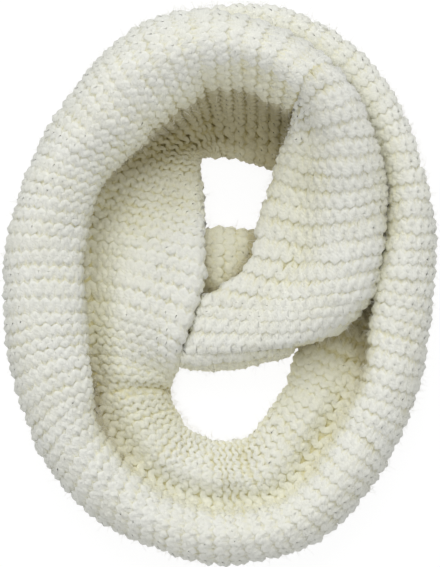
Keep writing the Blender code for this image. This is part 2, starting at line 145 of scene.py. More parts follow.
# The layers that nothing shows from above: low and rounded, from the bridge to the start of the
# band. Each row is one section, from the side nearer the outside of the scarf to the side nearer
# its middle.
HiddenStation = namedtuple("HiddenStation", "outer_x outer_y inner_x inner_y height")
HIDDEN = [
    # outer side    inner side     height
    HiddenStation(-24, -56, -24, 33.5, 17),
    HiddenStation(-38, -49, -29, 34.2, 17.5),
    HiddenStation(-53, -31, -31, 35.5, 18),
    HiddenStation(-66, -15, -33, 37.5, 18),
    HiddenStation(-77, 4, -35, 40.5, 18),
    HiddenStation(-85, 27, -38, 46, 18),
    HiddenStation(-89.5, 56, -42, 62, 18),
    HiddenStation(-88, 88.5, -44, 83.5, 18),
    HiddenStation(-80, 117, -40, 103, 19),
    HiddenStation(-69, 142.5, -31, 123.5, 21.5),
    HiddenStation(-58, 165.5, -18, 142.5, 25.6),
    HiddenStation(-45, 189, -11, 152.5, 28.8),
    HiddenStation(-22.5, 200, -6.8, 150, 30.5),
]

# Control points of a section, in pairs of how far in and how far up. On the side of the roll they
# are shares of the way to its crown, and round the rim shares of the rim's height.
ROLL_SIDE = [(0.75, 0.0), (0.22, 0.10), (0.0, 0.42), (0.20, 0.80), (1.0, 1.0)]
RIM_TURN = [(0.30, 0.75), (0.0, 0.0), (0.30, -0.75)]
ROLL_INNER_HEIGHT = 0.80  # how much of its height over the crease the roll has where full ends
LEAN_BOW = 11.0  # how strongly a lean bows the ridge
BAND_AT = 0.35  # where between crease and rim the band has its own height
SHOULDER_AT = 0.72  # and where it starts to turn down to the rim
CROWN_POINT = 5  # the control point of a section at its crown
FOLD_FIRST_POINT = 3  # the control points between which the fold runs
FOLD_LAST_POINT = 10

# The ridges at which the stretches of the outer turn end, and the inner turn and the bridge.
RIGHT_END = 34
LOWER_END = 58
LEFT_END = 84
UPPER_END = 102
INNER_END = 18
BRIDGE_END = 8

# The yarn and the stitch. A ridge has two rows: loop heads in front of their legs, and below them
# the bumps between the legs, which stand out further and cover most of the heads.
STITCH = 8.1  # width of a stitch
ROW = 0.5  # a row in ridges
# side is 1 where the feet of a row's loops lie in front, and -1 where their heads do. shift, and
# loop, the height of a loop, are in ridges. bulge is how far the legs swing sideways, depth how far
# the yarn swings forward and back, crossing how far it moves against side where loops cross, and
# middle where it lies over the form.
Row = namedtuple("Row", "side shift radius bulge loop depth crossing middle")
HEADS = Row(side=-1.0, shift=-0.42, radius=2.8, bulge=0.6, loop=0.90, depth=1.1, crossing=0.5, middle=-3.6)
BUMPS = Row(side=1.0, shift=0.0, radius=3.2, bulge=0.4, loop=0.84, depth=1.6, crossing=0.6, middle=-4.0)
SWELL = 0.12  # how much thicker the yarn is in front, and thinner behind, as a share
BACKING = -4.1  # where the plain cloth behind the loops lies over the form
BACK = -6.4  # and where its back does
BACK_FLOOR = 0.6  # the back stays this high over the floor, so that the cloth keeps a thickness
SOFTNESS = 0.45  # how much the fuzz makes the yarn look like one soft surface
POINTS_PER_STITCH = 10
SIDES = 6  # of the yarn's tube

CREAM = (0.88, 0.885, 0.825, 1.0)
# a darker, yellower cream for the plain core of the hidden layers: painted shade, as it lies deep under
# the rows
CREAM_IN_PAINTED_SHADE = (0.84, 0.81, 0.71, 1.0)
CREAM_HAIR = (0.88, 0.87, 0.81, 1.0)
PATCHY_TONE = (0.975, 0.97, 0.94)  # the darker tone of the uneven dye, as a share of the yarn's
PLIES = 3
TWISTS_PER_MM = 0.14

RIDGE_STEPS = 6  # rows of the fine grid in each ridge
EXTRA_ROWS = 3  # rows of it beyond each end of a table
SECTION_STEPS = 8  # points of the fine grid between two control points of a section
ARC_STEP = 1.5  # between two points of a net across the band
RIDGE_PITCH = 11.8  # the usual distance between ridges
FOLD_PITCH = 11.5  # and the one on the fold
PITCH_REACH = 0.25  # the distance is measured this far to both sides of a place, in ridges
WALL_SHORT = 0.5  # how many ridges the plain cloth ends before its patch does
TINY = 1e-6  # so that a range includes its end
LAST_PLACE = 1.001  # a net is read up to just before its last line
SHORTEST = 1e-9  # what a vector without length is divided by

HIDDEN_POINTS = 25  # of a section of the hidden layers
HIDDEN_FULLNESS = 0.7  # below 1 the section is fuller than an ellipse
HIDDEN_STEPS = 8  # between two rows of their table, where they are measured
CORE_STEPS = 4  # and in their plain core
HIDDEN_SINK = 4.2  # how far the core lies below their surface

# How far each measure strays from stitch to stitch.
SIZE_SPREAD = 0.07
BULGE_SPREAD = 0.12
ARC_SPREAD = 0.4
RIDGE_SPREAD = 0.03
CURVE_SPREAD = 0.2
DEPTH_SPREAD = 0.3
RADIUS_SPREAD = 0.04

FULL_PITCH = 9.0  # where ridges lie closer than this, the yarn is squeezed thinner
LEAST_RADIUS = 0.5  # down to this share
SHOWN_ABOVE = 2.0  # rows end where the cloth comes lower than this
SHOWN_FACING = -0.9  # or faces further down than this
SQUASH = 0.9  # how high the middle of the yarn lies over the floor at least, in radii

FIBRES = 14500
FIBRE = 0.1  # the radius of a fibre
FIBRE_LENGTHS = (2.5, 8.0)
FIBRE_BENDS = (0.3, 1.3)  # shares of its length
FIBRE_WIDTHS = (0.7, 1.2)  # shares of the radius
FIBRE_ROOT = -0.4  # where a fibre starts over the form
FIBRE_FLOOR = 0.2  # and how high it lies over the floor at least
FIBRE_OUT = 0.75  # how straight a fibre stands out of the cloth
FIBRE_LEAN = 0.9  # and how far it leans
FIBRE_TAPER = ((0.0, 1.0), (0.35, 0.9), (0.7, 0.7), (1.0, 0.3))  # places along it, shares of its width
FIBRE_TURNS = (0.0, 2.094, 4.189)  # a fibre has three sides
FIBRE_ARCS = (0.06, 0.97)  # the part of the band's width that has fibres
FIBRE_ABOVE = 4.0  # there are none where the cloth comes lower than this
FIBRE_FACING = -0.75  # or faces further down than this
FIBRE_SKY = 0.62  # or where it gets less of the light than this

# The painted shade is read from a height map of the scarf, from how deep the yarn lies in the valleys, and
# from the outer side of the roll.
CELL = 2.5  # the side of a cell of the height map
MAP_REACH = 230.0  # and how far the map reaches from the middle
VALLEY = -5.0  # below the form, where the painted shade of the valleys is darkest
FRONT = -1.4  # and where the yarn has no painted shade
EDGE_FROM = -12.0  # the arc at which the painted shade of the outer side begins
EDGE_REACH = 32.0  # and the arc over which it comes in
INNER_EDGE = ((0.0, 1.0), (9.0, 0.2), (18.0, 0.0))  # ridges of the inner turn, and its share of it
CLOTH_FRONT = 0.45  # how near the front the plain cloth behind the loops counts as, for the painted shade of the valleys
TROUGH_PAINTED_SHADE = 0.6  # how much a trough's depth counts towards the painted shade of the valleys
OPEN_SIDE = 18.0  # over this arc from the crown inwards the painted shade of the rest comes in
LITTLE_SHADE = 6.0  # what stands up less than this over a place leaves it its full tone
BRIGHT_SIDE = np.array((0.4, 0.8))  # most of the light comes from the far end
# Along the ridges of the outer turn, how much of the painted shade of the rest falls on its inner side.
SHADE_ALONG = [(0, 0.8), (30, 0.8), (37, 0.5), (54, 0.5), (58, 1.6), (64, 1.6)]
SHADE_ALONG += [(68, 0.6), (80, 0.6), (85, 1.1), (90, 1.2), (95, 1.0)]
INNER_SHADE = 0.4  # how much of it falls on the inner turn
HIDDEN_SHADE = 0.1  # and on the hidden layers
BESIDE_CREST = 0.3  # the share of it on the top of the roll that lies along the crest
BESIDE_RIDGES = 22.0  # up to this ridge
BESIDE_FADE = 6.0  # over this many ridges
INNER_SHADE_FROM = 2.5  # the ridge of the inner turn from which its shade comes in
INNER_SHADE_FADE = 4.0  # over this many ridges
EVEN_IN_LIGHT = 0.4  # how much weaker the painted shade of the valleys is in full light
EVEN_RISE = 1.6  # how fast it weakens with the light
EVEN_START = 0.5  # less this, so that it stays full in deep shade
SKY_TURNS = 16  # the light is read in this many directions
SKY_STEPS = (5.0, 10.0, 16.0, 24.0, 34.0, 48.0, 66.0)  # and at these distances

rng = np.random.default_rng(7)


def smooth(knots, values, places):
    """Reads a smooth curve through values at knots."""
    slopes = np.gradient(values, knots, axis=0)
    left = np.clip(np.searchsorted(knots, places, side="right") - 1, 0, len(knots) - 2)
    span = (knots[left + 1] - knots[left])[:, None]
    share = (places - knots[left])[:, None] / span
    start = (1 + 2 * share) * (1 - share) ** 2
    leave = share * (1 - share) ** 2
    finish = share**2 * (3 - 2 * share)
    arrive = share**2 * (share - 1)
    return (
        start * values[left]
        + leave * span * slopes[left]
        + finish * values[left + 1]
        + arrive * span * slopes[left + 1]
    )


def smooth_stations(stations, ridges):
    """Stations between those of a table."""
    table = np.array(stations, dtype=float)
    return [Station(*row) for row in smooth(table[:, 0], table, np.asarray(ridges, dtype=float))]


def lengths_along(points):
    """How far along a line each of its points lies."""
    return np.concatenate(([0.0], np.cumsum(np.linalg.norm(np.diff(points, axis=0), axis=1))))


def section(station):
    """The fine points of one section across the band, from tuck to tuck."""
    edge = np.array((station.edge_x, station.edge_y))
    crease = np.array((station.crease_x, station.crease_y))
    rim = np.array((station.rim_x, station.rim_y))
    roll = np.linalg.norm(crease - edge)
    flat = np.linalg.norm(rim - crease)
    crown_at = station.crown_at * roll
    rise = station.crown - station.base
    drop = station.crown - station.crease
    turn = station.rim - station.floor
    shoulder = 0.5 * (station.band + station.rim + turn)
    outline = [(ROLL_SIDE[0][0] * crown_at + OUTER_TUCK, station.base)]
    for inward, upward in ROLL_SIDE:
        outline.append((inward * crown_at, station.base + upward * rise))
    full_at = crown_at + station.full * (roll - crown_at)
    outline.append((full_at, station.crease + ROLL_INNER_HEIGHT * drop))
    outline.append((roll, station.crease))
    outline.append((roll + BAND_AT * flat, station.band))
    outline.append((roll + SHOULDER_AT * flat, shoulder))
    for inward, upward in RIM_TURN:
        outline.append((roll + flat - inward * turn, station.rim + upward * turn))
    outline.append((roll + flat - turn, station.floor))
    outline.append((roll + flat - turn - RIM_TUCK, station.floor))
    bend_at = roll / (roll + flat)
    bend = crease - edge - (rim - edge) * bend_at
    chord = (rim - edge) / np.linalg.norm(rim - edge)
    aside = station.lean * np.array((-chord[1], chord[0]))
    points = []
    for across, height in outline:
        share = across / (roll + flat)
        bent = share * (1 - share) / (bend_at * (1 - bend_at))
        bow = LEAN_BOW * share * (1 - share) * (bend_at - share)
        points.append((*(edge + (rim - edge) * share + bend * bent + aside * bow), height))
    points = np.array(points)
    knots = lengths_along(points)
    places = [knots[0]]
    for start, end in zip(knots[:-1], knots[1:]):
        places.extend(start + (end - start) * (k + 1) / SECTION_STEPS for k in range(SECTION_STEPS))
    return smooth(knots, points, np.array(places))


def unit(vectors):
    """Vectors brought to length 1."""
    return vectors / np.maximum(np.linalg.norm(vectors, axis=-1, keepdims=True), SHORTEST)


Patch = namedtuple("Patch", "first step start points normals low high")


def patch(ridges, grid, crown):
    """Lays an even net of ridge number and arc from the crown over a fine grid of sections."""
    facing = unit(np.cross(np.gradient(grid, axis=1), np.gradient(grid, axis=0)))
    arcs = np.zeros(grid.shape[:2])
    arcs[:, 1:] = np.cumsum(np.linalg.norm(np.diff(grid, axis=1), axis=2), axis=1)
    arcs -= arcs[:, crown : crown + 1]
    start = np.floor(arcs[:, 0].min() / ARC_STEP) * ARC_STEP
    net = np.arange(start, arcs[:, -1].max() + ARC_STEP, ARC_STEP)
    points = np.empty((len(grid), len(net), 3))
    normals = np.empty_like(points)
    for row in range(len(grid)):
        for axis in range(3):
            points[row, :, axis] = np.interp(net, arcs[row], grid[row, :, axis])
            normals[row, :, axis] = np.interp(net, arcs[row], facing[row, :, axis])
    return Patch(ridges[0], ridges[1] - ridges[0], start, points, unit(normals), arcs[:, 0], arcs[:, -1])


def read(net, ridges, arcs):
    """Places and outward directions on a patch, at ridge numbers and arcs from the crown."""
    rows, columns = net.points.shape[:2]
    row = np.clip((ridges - net.first) / net.step, 0, rows - LAST_PLACE)
    column = np.clip((arcs - net.start) / ARC_STEP, 0, columns - LAST_PLACE)
    i, j = row.astype(int), column.astype(int)
    u, v = (row - i)[..., None], (column - j)[..., None]
    found = []
    for grid in (net.points, net.normals):
        near = grid[i, j] * (1 - v) + grid[i, j + 1] * v
        far = grid[i + 1, j] * (1 - v) + grid[i + 1, j + 1] * v
        found.append(near * (1 - u) + far * u)
    return found[0], unit(found[1])


def ends(net, ridges):
    """The arcs at which the cloth begins and ends, at ridge numbers."""
    places = net.first + net.step * np.arange(len(net.low))
    return np.interp(ridges, places, net.low), np.interp(ridges, places, net.high)


def station_patch(stations):
    """The cloth through a table's stations, with a little more beyond both ends for the seams."""
    first, last = stations[0].ridge, stations[-1].ridge
    ridges = np.arange((last - first) * RIDGE_STEPS + 1) / RIDGE_STEPS + first
    grid = np.array([section(station) for station in smooth_stations(stations, ridges)])
    beyond = np.arange(1, EXTRA_ROWS + 1)[:, None, None]
    head = grid[0] - (grid[1] - grid[0]) * beyond[::-1]
    tail = grid[-1] + (grid[-1] - grid[-2]) * beyond
    ridges = np.arange(-EXTRA_ROWS, len(ridges) + EXTRA_ROWS) / RIDGE_STEPS + first
    return patch(ridges, np.concatenate((head, grid, tail)), CROWN_POINT * SECTION_STEPS)


def fold_patch():
    """The rolled-over bottom of the inner turn, with the ridges before it for a smooth start."""
    last = INNER_TURN[-1].ridge
    before = [last - 3 * ROW, last - 2 * ROW, last - ROW, last]
    cut = slice(FOLD_FIRST_POINT * SECTION_STEPS, FOLD_LAST_POINT * SECTION_STEPS + 1)
    lines = [section(station)[cut] for station in smooth_stations(INNER_TURN, before)]
    start = lines[-1]
    goal = smooth(
        np.linspace(0.0, 1.0, len(FOLD_OUTLINE)),
        np.array(FOLD_OUTLINE, dtype=float),
        np.linspace(0.0, 1.0, len(start)),
    )
    for line in FOLD:
        plan = start[:, :2] + (goal - start[:, :2]) * line.reach
        lines.append(np.column_stack((plan, start[:, 2] * line.height)))
    lines = np.array(lines)
    middle = lines[:, len(start) // 2]
    run = lengths_along(middle)
    run = (run - run[len(before) - 1]) / FOLD_PITCH
    run[: len(before)] = np.array(before) - last
    ridges = np.arange(-RIDGE_STEPS, int(run[-1] * RIDGE_STEPS) + 1) / RIDGE_STEPS
    grid = smooth(run, lines.reshape(len(lines), -1), ridges).reshape(len(ridges), -1, 3)
    return patch(ridges + last, grid, (CROWN_POINT - FOLD_FIRST_POINT) * SECTION_STEPS)


def waves(count, longest, shortest, amount):
    """A soft random relief over ridge number and arc, as a function."""
    turns = rng.uniform(0, 2 * np.pi, count)
    lengths = np.exp(rng.uniform(np.log(shortest), np.log(longest), count))
    offsets = rng.uniform(0, 2 * np.pi, count)

    def relief(ridges, arcs):
        total = np.zeros(np.broadcast(ridges, arcs).shape)
        for turn, length, offset in zip(turns, lengths, offsets):
            along = np.cos(turn) * ridges * RIDGE_PITCH + np.sin(turn) * arcs
            total = total + np.sin(2 * np.pi * along / length + offset)
        return total * amount / np.sqrt(count)

    return relief


# Creases laid on the outer turn: soft troughs, or ridges where the rise is positive, that
# run across the band between two arcs from the crown. reach is their half width, in ridges.
Crease = namedtuple("Crease", "ridge reach start end rise")
CREASES = [
    Crease(44.4, 0.7, 48, 96, -2.6),
    Crease(46.6, 1.5, 52, 100, 1.6),
    Crease(49.3, 0.8, 56, 92, -1.4),
    Crease(38.6, 0.9, 50, 88, -1.8),
    Crease(40.6, 1.1, 54, 90, 1.2),
    Crease(55.2, 0.8, 50, 84, -1.6),
    Crease(63.2, 0.9, 62, 130, -3.0),
    Crease(65.2, 1.3, 66, 130, 1.6),
    Crease(31.0, 0.8, 40, 80, -1.6),
    Crease(13.5, 0.9, 22, 46, -1.5),
    Crease(22.4, 0.8, 24, 44, -1.2),
    Crease(69.0, 0.6, -44, -16, -1.4),
    Crease(77.3, 0.8, -50, -20, -1.8),
    Crease(86.5, 0.7, -70, -28, -1.6),
    Crease(52.0, 0.8, -42, -12, -1.4),
    Crease(33.5, 0.7, -40, -14, -1.5),
    Crease(17.6, 0.8, -38, -12, -1.3),
    Crease(72.5, 1.2, 84, 128, 1.3),
    Crease(79.4, 0.9, 70, 120, -1.5),
]
CREASE_END = 14.0  # over this arc a crease fades out at each end
# Where the wall beneath the crest is stretched, its ridges stand apart with grooves between them.
GROOVE_DEPTH = 3.0
GROOVED_RIDGES = ((87.0, 0.0), (91.0, 1.0), (102.0, 1.0))
GROOVED_ARCS = ((38.0, 0.0), (55.0, 1.0), (112.0, 1.0), (122.0, 0.0))
GROOVE_AT = 0.25  # where a groove lies within its ridge


def creases(net, ridges, arcs, groove):
    """The height of the creases over the form of a patch, and of its grooves, by their share."""
    total = np.zeros(np.broadcast(ridges, arcs).shape)
    if net is not outer:
        return total
    for crease in CREASES:
        inside = np.minimum(arcs - crease.start, crease.end - arcs) / CREASE_END
        inside = np.clip(inside, 0.0, 1.0)
        inside = inside**2 * (3 - 2 * inside)
        total += crease.rise * inside * np.exp(-(((ridges - crease.ridge) / crease.reach) ** 2))
    along = np.interp(ridges, *np.transpose(GROOVED_RIDGES))
    across = np.interp(arcs, *np.transpose(GROOVED_ARCS))
    return total - GROOVE_DEPTH * along * across * groove


# The lumps of the laid cloth, and how far its rows and stitches drift, in ridges and millimetres.
LUMPS = waves(count=14, longest=110.0, shortest=32.0, amount=0.9)
ROW_DRIFT = waves(count=12, longest=90.0, shortest=26.0, amount=0.055)
STITCH_DRIFT = waves(count=12, longest=90.0, shortest=26.0, amount=0.8)


def add_object(name, data):
    """Puts a new object into the scene."""
    item = bpy.data.objects.new(name, data)
    bpy.context.scene.collection.objects.link(item)
    return item


def add_mesh(name, points, faces, material, along=None, light=None, facing=None):
    """Makes a mesh object from points in millimetres and quads, with the yarn's length and turn.

    light is how open each point is to the sky, how near the front of the cloth, and how far down
    the outer side of the roll, 0 to 1, from which the material paints shade into the yarn's colour.
    facing is the direction in which each point is shaded.
    """
    mesh = bpy.data.meshes.new(name)
    placed = (points - UNDERSIDE_MIDDLE) * MM
    sides = faces.shape[1]
    mesh.vertices.add(len(placed))
    mesh.vertices.foreach_set("co", placed.astype(np.float32).ravel())
    mesh.loops.add(faces.size)
    mesh.loops.foreach_set("vertex_index", faces.astype(np.int32).ravel())
    mesh.polygons.add(len(faces))
    mesh.polygons.foreach_set("loop_start", np.arange(0, faces.size, sides, dtype=np.int32))
    mesh.polygons.foreach_set("loop_total", np.full(len(faces), sides, dtype=np.int32))
    mesh.polygons.foreach_set("use_smooth", np.ones(len(faces), dtype=bool))
    if along is not None:
        layer = mesh.uv_layers.new(name="yarn")
        layer.data.foreach_set("uv", along.astype(np.float32).ravel())
    if light is not None:
        layer = mesh.color_attributes.new(name="light", type="FLOAT_COLOR", domain="POINT")
        colours = np.column_stack((light, np.ones(len(light))))
        layer.data.foreach_set("color", colours.astype(np.float32).ravel())
    mesh.update(calc_edges=True)
    mesh.validate()
    if facing is not None:
        mesh.normals_split_custom_set_from_vertices(facing.astype(np.float32))
    mesh.materials.append(material)
    item = add_object(name, mesh)
    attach(item, "root")
    return item


def shade_share(net, ridges, arcs):
    """How much of the painted shade of the rest of the scarf falls on places of a patch, 0 to 1."""
    if net is inner:
        return INNER_SHADE * np.clip((ridges - INNER_SHADE_FROM) / INNER_SHADE_FADE, 0.0, 1.0)
    if net is layers:
        return np.full(np.shape(ridges), HIDDEN_SHADE)
    if net is not outer:
        return np.full(np.shape(ridges), INNER_SHADE if net is fold else 1.0)
    share = np.clip(arcs / OPEN_SIDE, 0.0, 1.0) * np.interp(ridges, *np.transpose(SHADE_ALONG))
    beside = BESIDE_CREST * np.clip((BESIDE_RIDGES - ridges) / BESIDE_FADE, 0.0, 1.0)
    return np.maximum(share, beside * np.clip((arcs + OPEN_SIDE) / OPEN_SIDE, 0.0, 1.0))


def side_shade_share(net, ridges, arcs):
    """How much painted shade of the outer side places of a patch have, 0 to 1."""
    if net is fold or net is bridge:
        return np.zeros(np.shape(ridges))
    edge = np.clip((EDGE_FROM - arcs) / EDGE_REACH, 0.0, 1.0)
    return edge * np.interp(ridges, *np.transpose(INNER_EDGE)) if net is inner else edge


def yarn_path(net, ridge, row):
    """The middle line of one row of loops, its outward side, radius, depth, painted shade and painted side
    shade.
    """
    low, high = ends(net, ridge + 0.5)
    first, last = low / STITCH, high / STITCH
    if last - first < 2:
        return None
    turn = np.arange(np.ceil(first * POINTS_PER_STITCH), last * POINTS_PER_STITCH)
    stitch = turn / POINTS_PER_STITCH
    turn = 2 * np.pi * stitch
    knots = np.arange(int(np.floor(first)) - 1, int(np.ceil(last)) + 2)

    def uneven(amount):
        return np.interp(stitch, knots, rng.normal(0, amount, len(knots)))

    size = 1 + uneven(SIZE_SPREAD)
    arcs = STITCH * stitch + (row.bulge + uneven(BULGE_SPREAD)) * np.sin(2 * turn) + uneven(ARC_SPREAD)
    base = ridge + 0.5 - (row.loop - ROW) / 2 + row.shift
    rise = row.loop / 2 * size
    ridges = base + rise * (1 - np.cos(turn)) + uneven(RIDGE_SPREAD)
    curve = (row.depth + uneven(CURVE_SPREAD)) * np.cos(turn)
    depth = row.side * (curve - row.crossing * np.sin(2 * turn) ** 2)
    depth = depth + row.middle + uneven(DEPTH_SPREAD)
    arcs = arcs + STITCH_DRIFT(ridges, arcs)
    ridges = ridges + ROW_DRIFT(ridges, arcs)
    place, out = read(net, ridges, arcs)
    before, _ = read(net, ridges - PITCH_REACH, arcs)
    after, _ = read(net, ridges + PITCH_REACH, arcs)
    pitch = np.linalg.norm(after - before, axis=1) / (2 * PITCH_REACH)
    squeeze = np.clip(pitch / FULL_PITCH, LEAST_RADIUS, 1.0)
    radius = row.radius * squeeze * size * (1 + uneven(RADIUS_SPREAD))
    radius = radius * (1 + SWELL * row.side * np.cos(turn))
    groove = np.clip(np.cos(2 * np.pi * (ridges - GROOVE_AT)), 0.0, 1.0) ** 2
    folds = creases(net, ridges, arcs, groove)
    line = place + out * (depth + folds + LUMPS(ridges, arcs))[:, None]
    depth = depth + np.minimum(folds, 0.0) * TROUGH_PAINTED_SHADE
    shown = (place[:, 2] > SHOWN_ABOVE) & (out[:, 2] > SHOWN_FACING)
    where = np.flatnonzero(shown)
    if len(where) < 2 * POINTS_PER_STITCH:
        return None
    cut = slice(where[0], where[-1] + 1)
    line, out, radius = line[cut], out[cut], radius[cut]
    line[:, 2] = np.maximum(line[:, 2], radius * SQUASH)
    ridges, arcs = ridges[cut], arcs[cut]
    shade, edge = shade_share(net, ridges, arcs), side_shade_share(net, ridges, arcs)
    return line, out, radius, depth[cut], shade, edge


def tube(line, out, radius):
    """The rings of a tube about a line."""
    ahead = unit(np.gradient(line, axis=0))
    sideways = unit(np.cross(ahead, out))
    up = np.cross(sideways, ahead)
    turns = np.linspace(0, 2 * np.pi, SIDES, endpoint=False)
    return (
        line[:, None]
        + radius[:, None, None] * np.cos(turns)[None, :, None] * up[:, None]
        + radius[:, None, None] * np.sin(turns)[None, :, None] * sideways[:, None]
    )


def row_quads(line):
    """The quads of one row's tube, and how far along and round the yarn their corners lie."""
    count = len(line)
    ids = np.arange(count * SIDES).reshape(count, SIDES)
    near, far = ids[:-1], ids[1:]
    turned = np.roll(np.arange(SIDES), -1)
    quads = np.stack((near, near[:, turned], far[:, turned], far), axis=2)
    run = lengths_along(line)
    low, high = run[:-1, None] + 0 * near, run[1:, None] + 0 * near
    side = np.arange(SIDES)[None] / SIDES + 0 * low
    step = 1.0 / SIDES
    corners = (low, side, low, side + step, high, side + step, high, side)
    return quads.reshape(-1, 4), np.stack(corners, axis=2).reshape(-1, 2)


def row_light(line, out, rings, depth, shade, edge):
    """The painted shade on the points of one row: open sky, nearness to the front, and outer side."""
    proud = depth[:, None] + np.sum((rings - line[:, None]) * out[:, None], axis=2)
    near_front = np.clip((proud - VALLEY) / (FRONT - VALLEY), 0.0, 1.0)
    sky = 1 - shade * (1 - open_sky(line))
    even = EVEN_IN_LIGHT * np.clip(sky[:, None] * EVEN_RISE - EVEN_START, 0.0, 1.0)
    front = 1 - (1 - near_front) * (1 - even)
    return np.column_stack((np.repeat(sky, SIDES), front.ravel(), np.repeat(edge, SIDES)))


def knit(name, net, first, last, material):
    """Knits the rows of some ridges of a patch into one mesh."""
    points, faces, lengths, lights, facings = [], [], [], [], []
    total = 0
    for ridge in np.arange(first, last):
        for row in (HEADS, BUMPS):
            path = yarn_path(net, float(ridge), row)
            if path is None:
                continue
            line, out, radius, depth, shade, edge = path
            rings = tube(line, out, radius)
            round_yarn = (rings - line[:, None]) / radius[:, None, None]
            soft = unit(round_yarn * (1 - SOFTNESS) + out[:, None] * SOFTNESS)
            quads, along = row_quads(line)
            points.append(rings.reshape(-1, 3))
            faces.append(total + quads)
            lengths.append(along)
            lights.append(row_light(line, out, rings, depth, shade, edge))
            facings.append(soft.reshape(-1, 3))
            total += len(line) * SIDES
    return add_mesh(
        name,
        np.concatenate(points),
        np.concatenate(faces),
        material,
        np.concatenate(lengths),
        np.concatenate(lights),
        np.concatenate(facings),
    )


def height_map(nets):
    """The height of the top of the scarf over a square grid in the plan."""
    side = int(2 * MAP_REACH / CELL)
    top = np.zeros((side, side))
    for net in nets:
        places = net.points.reshape(-1, 3)
        cells = np.clip(((places[:, :2] + MAP_REACH) / CELL).astype(int), 0, side - 1)
        np.maximum.at(top, (cells[:, 0], cells[:, 1]), places[:, 2])
    return top


def open_sky(places):
    """The share of the light that places see over the rest of the scarf."""
    total = np.zeros(len(places))
    for turn in np.linspace(0, 2 * np.pi, SKY_TURNS, endpoint=False):
        steepest = np.zeros(len(places))
        way = np.array((np.cos(turn), np.sin(turn)))
        for step in SKY_STEPS:
            ahead = places[:, :2] + step * way
            cells = np.clip(((ahead + MAP_REACH) / CELL).astype(int), 0, len(TOP) - 1)
            rise = (TOP[cells[:, 0], cells[:, 1]] - places[:, 2] - LITTLE_SHADE) / step
            steepest = np.maximum(steepest, rise)
        total += (1 + way @ BRIGHT_SIDE) / (1 + steepest**2)
    return total / SKY_TURNS


def cloth_wall(net, columns):
    """A thin closed wall of plain cloth behind the loops of a patch, and its painted shade."""
    last = net.first + net.step * (len(net.low) - 1)
    rows = np.arange(net.first + WALL_SHORT, last - WALL_SHORT + TINY, ROW)
    low, high = ends(net, rows)
    shares = np.linspace(0.0, 1.0, columns)
    arcs = low[:, None] + (high - low)[:, None] * shares
    ridges = rows[:, None] + 0 * arcs
    place, out = read(net, ridges, arcs)
    sides = []
    for depth, floor in ((BACKING, 0.0), (BACK, BACK_FLOOR)):
        relief = creases(net, ridges, arcs, 1.0) + LUMPS(ridges, arcs)
        side = place + out * (depth + relief)[..., None]
        side[..., 2] = np.maximum(side[..., 2], floor)
        sides.append(side)
    count = len(rows)
    front = np.arange(count * columns).reshape(count, columns)
    back = front + count * columns
    faces = [
        np.stack((front[:-1, :-1], front[:-1, 1:], front[1:, 1:], front[1:, :-1]), axis=2),
        np.stack((back[:-1, :-1], back[1:, :-1], back[1:, 1:], back[:-1, 1:]), axis=2),
    ]
    faces = [face.reshape(-1, 4) for face in faces]
    for one, two in (
        ((front[0, 1:], front[0, :-1]), (back[0, :-1], back[0, 1:])),
        ((front[-1, :-1], front[-1, 1:]), (back[-1, 1:], back[-1, :-1])),
        ((front[:-1, 0], front[1:, 0]), (back[1:, 0], back[:-1, 0])),
        ((front[1:, -1], front[:-1, -1]), (back[:-1, -1], back[1:, -1])),
    ):
        faces.append(np.stack((*one, *two), axis=1))
    points = np.concatenate([side.reshape(-1, 3) for side in sides])
    seen = open_sky(place.reshape(-1, 3)).reshape(arcs.shape)
    sky = 1 - shade_share(net, ridges, arcs) * (1 - seen)
    light = np.stack((sky, np.full(arcs.shape, CLOTH_FRONT), side_shade_share(net, ridges, arcs)), axis=2)
    light = light.reshape(-1, 3)
    return points, np.concatenate(faces), np.concatenate((light, light))


def hidden_places(steps):
    """Even places in the table of the hidden layers, some steps from row to row."""
    return np.linspace(0, len(HIDDEN) - 1, steps * (len(HIDDEN) - 1) + 1)


def hidden_sections(places, sink):
    """Rounded sections of the hidden layers at places in their table, sunk below its surface."""
    table = np.array(HIDDEN, dtype=float)
    turns = np.linspace(0.0, np.pi, HIDDEN_POINTS)
    out = -np.sign(np.cos(turns)) * abs(np.cos(turns)) ** HIDDEN_FULLNESS
    up = np.sin(turns) ** HIDDEN_FULLNESS
    rows = []
    sections = smooth(np.arange(len(table), dtype=float), table, places)
    for outer_x, outer_y, inner_x, inner_y, height in sections:
        middle = np.array((inner_x + outer_x, inner_y + outer_y)) / 2
        half = np.array((inner_x - outer_x, inner_y - outer_y)) / 2
        half = half * (1 - sink / np.linalg.norm(half))
        rows.append(np.column_stack((middle + half * out[:, None], up * (height - sink))))
    return np.array(rows)


def hidden_patch():
    """The net on which the hidden layers are knitted."""
    fine = hidden_places(HIDDEN_STEPS)
    middle = hidden_sections(fine, 0.0).mean(axis=1)
    run = lengths_along(middle) / RIDGE_PITCH
    ridges = np.arange(int(run[-1] * RIDGE_STEPS) + 1) / RIDGE_STEPS
    grid = hidden_sections(np.interp(ridges, run, fine), 0.0)
    beyond = np.arange(1, RIDGE_STEPS + 1)
    tail = grid[-1] + (grid[-1] - grid[-2]) * beyond[:, None, None]
    ridges = np.concatenate((ridges, ridges[-1] + beyond / RIDGE_STEPS))
    return patch(ridges, np.concatenate((grid, tail)), grid.shape[1] // 2)


def hidden_core():
    """The plain core of the hidden layers."""
    rows = hidden_sections(hidden_places(CORE_STEPS), HIDDEN_SINK)
    length, count = rows.shape[:2]
    ids = np.arange(length * count).reshape(length, count)
    ahead = np.roll(ids, -1, axis=1)
    faces = np.stack((ids[:-1], ahead[:-1], ahead[1:], ids[1:]), axis=2).reshape(-1, 4)
    caps = []
    for ring, way in ((ids[0], 1), (ids[-1], -1)):
        for k in range(count // 2 - 1):
            caps.append([ring[k], ring[k + 1], ring[count - 2 - k], ring[count - 1 - k]][::way])
    return rows.reshape(-1, 3), np.concatenate((faces, np.array(caps)))


